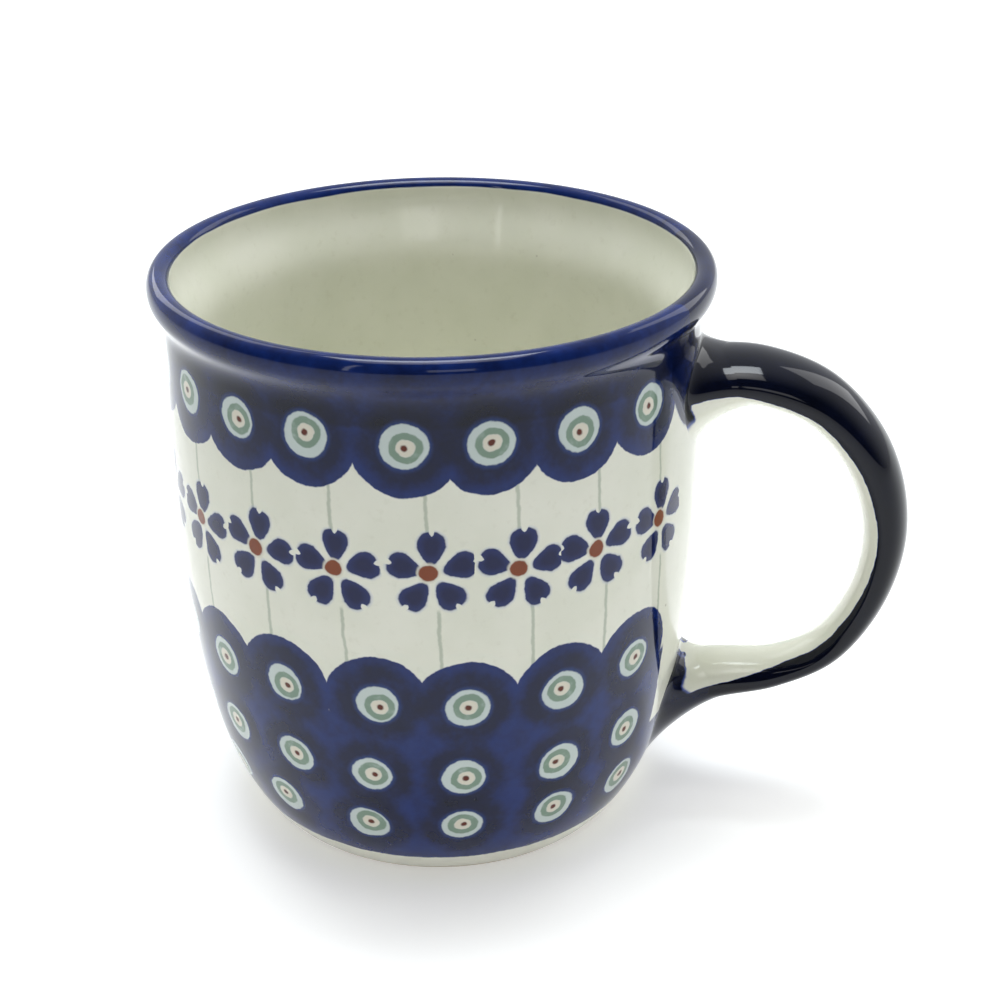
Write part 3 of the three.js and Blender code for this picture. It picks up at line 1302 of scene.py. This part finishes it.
@dataclass
class Handle:
    """The ear handle, pulled to a taper and bent out from the wall and back."""

    cup: Cup
    reach: float = 73.9
    drop: float = 17.8
    bottom: float = 21.6
    root_depth: float = 6.0
    top_width: float = 16.6
    narrow_width: float = 10.6
    bottom_width: float = 13.6
    top_thickness: float = 8.2
    narrow_thickness: float = 5.4
    bottom_thickness: float = 9.6
    narrow_at: float = 0.74  # share of the way where it is narrowest
    thin_from: float = 0.3  # share of the way to which it keeps its top thickness
    thin_at: float = 0.72  # share of the way where it is thinnest
    bedding: float = 2.0  # how deep in the wall the clay of the handle ends
    sides: int = 72
    rows: int = 220
    steps: int = 60  # points of the middle line between two knots
    finish: HandleFinish = field(default_factory=HandleFinish)

    def knots(self) -> list[Vector]:
        """Points that the middle of the clay passes, as shares out to the reach and up between the roots.

        Returns:
            The points, from the cup's axis, from the upper root to the lower.
        """
        shares = (
            (0.1, 1.004),
            (0.32, 1.0),
            (0.61, 0.94),
            (0.835, 0.81),
            (0.965, 0.65),
            (1.0, 0.48),
            (0.925, 0.29),
            (0.75, 0.125),
            (0.5, 0.04),
            (0.21, 0.005),
        )
        rise = self.cup.height - self.drop - self.bottom
        points = []
        for out, up in shares:
            height = self.bottom + up * rise
            wall = float(self.cup.radius_at(height))
            points.append(Vector((wall + (self.reach - wall) * out, 0.0, height)))
        for up, place in ((0.975, 0), (-0.06, len(points) + 1)):
            height = self.bottom + up * rise
            points.insert(place, Vector((float(self.cup.radius_at(height)) - self.root_depth, 0.0, height)))
        return points

    def middle(self) -> np.ndarray:
        """The middle of the clay as evenly spaced points from the upper root to the lower.

        Returns:
            The points, from the cup's axis, one row each.
        """
        knots = self.knots()
        ends = [2 * knots[0] - knots[1], *knots, 2 * knots[-1] - knots[-2]]
        dense = []
        for a, b, c, d in zip(ends, ends[1:], ends[2:], ends[3:]):
            before, here, after = ((q - p).length ** 0.5 for p, q in ((a, b), (b, c), (c, d)))
            leave = ((b - a) / before - (c - a) / (before + here) + (c - b) / here) * here
            arrive = ((c - b) / here - (d - b) / (here + after) + (d - c) / after) * here
            for i in range(self.steps):
                t = i / self.steps
                start, end = 2 * t**3 - 3 * t**2 + 1, 3 * t**2 - 2 * t**3
                dense.append(b * start + leave * (t**3 - 2 * t**2 + t) + c * end + arrive * (t**3 - t**2))
        line = np.array([*dense, knots[-1]])
        run = np.concatenate([[0.0], np.cumsum(np.linalg.norm(np.diff(line, axis=0), axis=1))])
        even = np.linspace(0.0, run[-1], self.rows)
        return np.stack([np.interp(even, run, line[:, axis]) for axis in range(3)], axis=1)

    def half_sizes(self, along: np.ndarray) -> tuple[np.ndarray, np.ndarray]:
        """Half the width and half the thickness.

        Args:
            along: Shares of the way from the upper root to the lower.

        Returns:
            The half width and the half thickness at each share.
        """

        def ease(start: float, end: float) -> np.ndarray:
            """A smooth step between two shares."""
            t = np.clip((along - start) / (end - start), 0.0, 1.0)
            return t * t * (3 - 2 * t)

        def half(start: float, turn_at: float, top: float, narrow: float, bottom: float) -> np.ndarray:
            """Half of a size that runs from top to narrow to bottom."""
            return (top + (narrow - top) * ease(start, turn_at) + (bottom - narrow) * ease(turn_at, 1.0)) / 2

        width = half(0.0, self.narrow_at, self.top_width, self.narrow_width, self.bottom_width)
        thickness = half(
            self.thin_from, self.thin_at, self.top_thickness, self.narrow_thickness, self.bottom_thickness
        )
        return width, thickness

    def skin(self, along: np.ndarray, turn: np.ndarray) -> np.ndarray:
        """Points on the handle's surface, from the cup's axis.

        Args:
            along: Shares of the way from the upper root to the lower.
            turn: Angles from the outer side of the bow.

        Returns:
            One point in millimetres for each pair.
        """
        line = self.middle()
        shares = np.linspace(0.0, 1.0, len(line))
        heading = np.gradient(line, axis=0)
        heading /= np.linalg.norm(heading, axis=1)[:, None]
        at = [np.interp(along, shares, line[:, axis]) for axis in (0, 2)]
        run, climb = (np.interp(along, shares, heading[:, axis]) for axis in (0, 2))
        width, thickness = self.half_sizes(along)
        out = thickness * np.cos(turn)
        return np.stack([at[0] - climb * out, width * np.sin(turn), at[1] + run * out], axis=1)

    def build(self) -> bpy.types.Object:
        """Pulls the handle, beds its ends in the wall and dresses it.

        Returns:
            The handle.
        """
        line = self.middle() * MILLI + np.array([self.cup.axis, 0.0, 0.0])
        host = poly_curve("handle line", [tuple(point) for point in line])
        sizes = {
            "Top Width": self.top_width * MILLI,
            "Narrow Width": self.narrow_width * MILLI,
            "Bottom Width": self.bottom_width * MILLI,
            "Top Thickness": self.top_thickness * MILLI,
            "Narrow Thickness": self.narrow_thickness * MILLI,
            "Bottom Thickness": self.bottom_thickness * MILLI,
            "Sides": self.sides,
            "Rows": self.rows,
            "Narrow At": self.narrow_at,
            "Thin From": self.thin_from,
            "Thin At": self.thin_at,
            "Material": self.finish.build(),
        }
        piece = grow(host, swept_grip_tree(), sizes, "pulled_handle")
        self.bed(piece.data)
        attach(piece, "root")
        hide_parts("handle")
        return piece

    def bed(self, data: bpy.types.Mesh) -> None:
        """Moves what would come through the wall back to the middle of its thickness.

        Args:
            data: The handle's mesh.
        """
        places = read_places(data)
        aside = places[:, 0] - self.cup.axis
        radius = np.hypot(aside, places[:, 1])
        limit = (self.cup.radius_at(places[:, 2] / MILLI) - self.bedding) * MILLI
        push = np.where(radius < limit, limit / np.maximum(radius, 1e-6), 1.0)
        places[:, 0] = self.cup.axis + aside * push
        places[:, 1] *= push
        data.vertices.foreach_set("co", places.ravel())
        data.update()


def unit(rows: np.ndarray) -> np.ndarray:
    """Vectors of length 1 in the same directions, one row each."""
    return rows / np.linalg.norm(rows, axis=1)[:, None]


@dataclass
class SlipJoint:
    """The slip wiped into the crease round one root: a fillet from the handle's skin to the wall."""

    cup: Cup
    handle: Handle
    root: Root
    name: str
    node: str
    on_wall: tuple[float, float, float]  # spread on the wall at the bow's outer side, beside and inside
    on_handle: tuple[float, float, float]  # length on the handle, in the same order
    around: int = 144
    over: int = 20
    sunk: float = 0.03  # how far its edges lie under the surfaces that they meet
    back: float = 1.2  # how deep its back lies in the wall
    pull: float = 0.46  # how far the fillet is drawn in to the crease: less is fuller
    step_along: float = 0.004  # share along the handle that gives the skin's direction
    step_aside: float = 0.2  # millimetres along the wall that give the wall's direction

    @staticmethod
    def blend(sizes: tuple[float, float, float], turn: np.ndarray) -> np.ndarray:
        """A size that runs smoothly round the root.

        Args:
            sizes: Its values at the bow's outer side, beside and inside.
            turn: Angles from the outer side.

        Returns:
            The size at each angle.
        """
        outer, side, inner = sizes
        facing = np.cos(turn)
        end = np.where(facing > 0, outer, inner)
        return side + (end - side) * facing**2

    def crossing(self, turn: np.ndarray) -> np.ndarray:
        """Where the handle's skin leaves the wall.

        Args:
            turn: Angles from the bow's outer side.

        Returns:
            The share along the handle at each angle.
        """
        probes = np.linspace(self.root.value, 0.5, 1500)
        found = []
        for angle in turn:
            points = self.handle.skin(probes, np.full_like(probes, angle))
            outside = np.hypot(points[:, 0], points[:, 1]) > self.cup.radius_at(points[:, 2])
            found.append(probes[int(np.argmax(outside))])
        return np.array(found)

    def on_cup(self, arc: np.ndarray, height: np.ndarray, lift: float = 0.0) -> np.ndarray:
        """Points on the outer wall.

        Args:
            arc: Angles round the axis.
            height: Their heights.
            lift: How far they stand off the wall.

        Returns:
            The points, one row each.
        """
        radius = self.cup.radius_at(height) + lift
        return np.stack([radius * np.cos(arc), radius * np.sin(arc), height], axis=1)

    def wall_edge(
        self, arc: np.ndarray, height: np.ndarray, turn: np.ndarray
    ) -> tuple[np.ndarray, np.ndarray, np.ndarray]:
        """Where the slip ends on the wall.

        Args:
            arc: Angles round the axis where the handle meets the wall.
            height: Heights where it does.
            turn: Angles from the bow's outer side.

        Returns:
            The edge's angles round the axis, its heights, and the way along the wall to the handle.
        """
        radius = self.cup.radius_at(height)
        middle = (height.max() + height.min()) / 2
        away = unit(np.stack([arc * radius, height - middle], axis=1))
        spread = self.blend(self.on_wall, turn)
        edge_arc = arc + away[:, 0] * spread / radius
        edge_height = height + away[:, 1] * spread
        nearer = away * self.step_aside
        inner = self.on_cup(edge_arc - nearer[:, 0] / radius, edge_height - nearer[:, 1])
        return edge_arc, edge_height, unit(inner - self.on_cup(edge_arc, edge_height))

    def rings(self) -> tuple[list[np.ndarray], np.ndarray, np.ndarray]:
        """The closed rings of points, from the handle over to the wall and back inside the clay.

        Returns:
            The rings, the angle of each point round the section, and the shares along the handle at which
            the slip starts and at which the handle meets the wall.
        """
        turn = np.linspace(0.0, TURN, self.around, endpoint=False)
        share = self.crossing(turn)
        length = np.linalg.norm(np.diff(self.handle.middle(), axis=0), axis=1).sum()
        inward = 1.0 if self.root is Root.UPPER else -1.0
        start = share + inward * self.blend(self.on_handle, turn) / length
        crease = self.handle.skin(share, turn)
        grip = self.handle.skin(start, turn)
        beyond = self.handle.skin(start + inward * self.step_along, turn)
        arc, height = np.arctan2(crease[:, 1], crease[:, 0]), crease[:, 2]
        wall_arc, wall_height, along_wall = self.wall_edge(arc, height, turn)
        wall = self.on_cup(wall_arc, wall_height)
        grip_pull = unit(grip - beyond) * (self.pull * np.linalg.norm(grip - crease, axis=1))[:, None]
        wall_pull = along_wall * (self.pull * np.linalg.norm(wall - crease, axis=1))[:, None]
        core = (grip + self.handle.skin(start, turn + math.pi)) / 2
        shrink = unit(core - grip)
        grip = grip + shrink * self.sunk
        wall = self.on_cup(wall_arc, wall_height, -self.sunk)
        made = []
        for t in np.linspace(0.0, 1.0, self.over):
            rest = 1.0 - t
            leaving = (grip + grip_pull) * 3 * rest**2 * t
            arriving = (wall + wall_pull) * 3 * rest * t**2
            made.append(grip * rest**3 + leaving + arriving + wall * t**3)
        made.append(self.on_cup(wall_arc, wall_height, -self.back))
        made.append(self.on_cup(arc, height, -self.back))
        made.append(grip + shrink * self.back)
        return made, turn, np.stack([start, share])

    def build(self) -> bpy.types.Object:
        """Wipes the slip into the crease and dresses it.

        Returns:
            The slip.
        """
        rings, turn, (start, share) = self.rings()
        count = len(rings)
        places = np.concatenate(rings) * MILLI + np.array([self.cup.axis, 0.0, 0.0])
        faces = []
        for ring in range(count):
            for i in range(self.around):
                a, b = ring * self.around, (ring + 1) % count * self.around
                j = (i + 1) % self.around
                faces.append((a + i, a + j, b + j, b + i))
        data = bpy.data.meshes.new(self.name)
        data.from_pydata([tuple(point) for point in places], [], faces)
        over = np.clip(np.arange(count) / (self.over - 1), 0.0, 1.0).repeat(self.around)
        data.attributes.new(OVER, "FLOAT", "POINT").data.foreach_set("value", over.astype(np.float32))
        along = np.tile(start, count) * (1.0 - over) + np.tile(share, count) * over
        section = np.stack([np.tile(np.cos(turn), count), np.tile(np.sin(turn), count), along], axis=1)
        section = section.astype(np.float32)
        data.attributes.new(SECTION, "FLOAT_VECTOR", "POINT").data.foreach_set("vector", section.ravel())
        data.shade_smooth()
        data.set_sharp_from_angle(angle=math.radians(50.0))
        face_outwards(data)
        data.materials.append(JointFinish(self.root).build())
        piece = put(self.name, data)
        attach(piece, "root")
        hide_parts(self.node)
        return piece


# Studio


@dataclass(frozen=True)
class Lamp:
    """One soft box, aimed at the mug. Metres, watts and degrees."""

    name: str
    azimuth: float  # round the mug, 0 in front and 90 on the right
    elevation: float
    distance: float
    width: float
    height: float
    watts: float
    colour: tuple[float, float, float] = (1.0, 1.0, 1.0)
    spread: float = 180.0  # degrees that its beam opens to


@dataclass
class Studio:
    """A plain pale floor, soft boxes and the camera."""

    cup: Cup
    azimuth: float = 10.0  # the camera's place round the mug and above it, in degrees
    elevation: float = 27.26
    distance: float = 305.18
    aim_height: float = 47.5
    roll: float = -1.42  # degrees that the camera is turned on its stand
    pan: float = -1.950
    tilt: float = -0.696
    lens: float = 64.8
    floor_size: float = 8.0  # metres
    floor_gap: float = 0.0001  # how far the floor lies under the foot, in metres
    floor_glow: float = 0.32
    lamps: tuple[Lamp, ...] = (
        Lamp("overhead soft box", 190.0, 80.0, 1.3, 0.8, 0.45, 11.0, (0.88, 0.95, 1.0)),
        Lamp("light into the cup", 10.0, 86.0, 0.42, 0.3, 0.3, 0.17, (1.0, 0.99, 0.97), 60.0),
        Lamp("left strip", -23.0, 24.0, 1.2, 0.05, 0.8, 0.4),
        Lamp("right back window", 135.0, 30.0, 1.3, 0.5, 0.9, 3.0),
        Lamp("left back window", -140.0, 34.0, 1.3, 0.5, 0.9, 3.0),
        Lamp("front window", 16.0, 18.0, 1.4, 0.42, 0.3, 0.8),
    )

    def place(self, azimuth: float, elevation: float, distance: float) -> Vector:
        """A point seen from the middle of the cup.

        Args:
            azimuth: Degrees round the cup, 0 in front and 90 on the right.
            elevation: Degrees above the middle.
            distance: Metres from the middle.

        Returns:
            The point, in metres.
        """
        a, e = math.radians(azimuth), math.radians(elevation)
        back = Vector((math.sin(a) * math.cos(e), -math.cos(a) * math.cos(e), math.sin(e)))
        return Vector((self.cup.axis, 0.0, self.aim_height * MILLI)) + back * distance

    def aim(self, spot: Vector) -> Matrix:
        """Stands something at a spot so that it looks at the middle of the cup.

        Args:
            spot: Where it stands, in metres.

        Returns:
            Its place and turn.
        """
        facing = (self.place(0.0, 0.0, 0.0) - spot).to_track_quat("-Z", "Y")
        return Matrix.Translation(spot) @ facing.to_matrix().to_4x4()

    def camera(self) -> None:
        """Sets the camera where the mug is seen a little from above, with the handle on the right."""
        data = bpy.data.cameras.new("camera")
        data.lens = self.lens
        data.sensor_width = 36.0
        data.clip_start, data.clip_end = 0.01, 50.0
        camera = put("camera", data)
        stand = self.aim(self.place(self.azimuth, self.elevation, self.distance * MILLI))
        for degrees, around in ((-self.tilt, "X"), (self.pan, "Y"), (self.roll, "Z")):
            stand = stand @ Matrix.Rotation(math.radians(degrees), 4, around)
        camera.matrix_world = stand
        bpy.context.scene.camera = camera

    def floor(self) -> bpy.types.Object:
        """Lays the pale floor.

        Returns:
            The floor.
        """
        half = self.floor_size / 2
        data = bpy.data.meshes.new("floor")
        corners = [(x * half, y * half, 0.0) for x, y in ((-1, -1), (1, -1), (1, 1), (-1, 1))]
        data.from_pydata(corners, [], [(0, 1, 2, 3)])
        floor = put("floor", data)
        floor.location.z = -self.floor_gap
        material = bpy.data.materials.new("Pale floor")
        material.use_nodes = True
        shader = material.node_tree.nodes["Principled BSDF"]
        shader.inputs["Base Color"].default_value = paint("F4F4F2")
        shader.inputs["Roughness"].default_value = 0.9
        shader.inputs["Specular IOR Level"].default_value = 0.1
        shader.inputs["Emission Color"].default_value = paint("FFFFFF")
        shader.inputs["Emission Strength"].default_value = self.floor_glow
        data.materials.append(material)
        return floor

    def light(self) -> None:
        """Hangs the soft boxes and lights the room: dim in front, pale behind and at the sides."""
        for lamp in self.lamps:
            data = bpy.data.lights.new(lamp.name, "AREA")
            data.shape = "RECTANGLE"
            data.size, data.size_y = lamp.width, lamp.height
            data.energy = lamp.watts
            data.color = lamp.colour
            data.spread = math.radians(lamp.spread)
            light = put(lamp.name, data)
            light.matrix_world = self.aim(self.place(lamp.azimuth, lamp.elevation, lamp.distance))
        world = bpy.data.worlds.new("studio")
        world.use_nodes = True
        bench = Bench(world.node_tree)
        bench.tree.nodes.clear()
        _, depth, _ = bench.split(bench.out(bench.add("ShaderNodeTexCoord"), "Generated"))
        shade = bench.mix(depth.rise(-0.5, 0.45), (0.03, 0.03, 0.035, 1.0), (0.74, 0.76, 0.79, 1.0))
        background = bench.add("ShaderNodeBackground", {"Color": shade, "Strength": 1.0})
        end = bench.add("ShaderNodeOutputWorld")
        bench.feed(end.inputs["Surface"], bench.out(background))
        bpy.context.scene.world = world

    def build(self) -> None:
        """Sets up the whole studio, with plain unshifted colours."""
        self.camera()
        self.floor()
        self.light()
        bpy.context.scene.view_settings.view_transform = "Standard"


def main() -> None:
    """Builds the mug and its studio, keeping the imported parts hidden beside them."""
    logging.basicConfig(level=logging.INFO, format="%(name)s: %(message)s")
    cup = Cup()
    handle = Handle(cup)
    upper = SlipJoint(
        cup, handle, Root.UPPER, "upper_slip", "upper_slip_joint", (2.6, 5.0, 7.0), (3.5, 7.5, 15.0)
    )
    lower = SlipJoint(
        cup, handle, Root.LOWER, "lower_slip", "lower_slip_joint", (9.0, 5.5, 2.4), (14.0, 8.0, 3.2)
    )
    for maker in (cup, handle, upper, lower):
        piece = maker.build()
        LOG.info("%s: %d faces", piece.name, len(piece.data.polygons))
    Studio(cup).build()


if __name__ == "__main__":
    main()
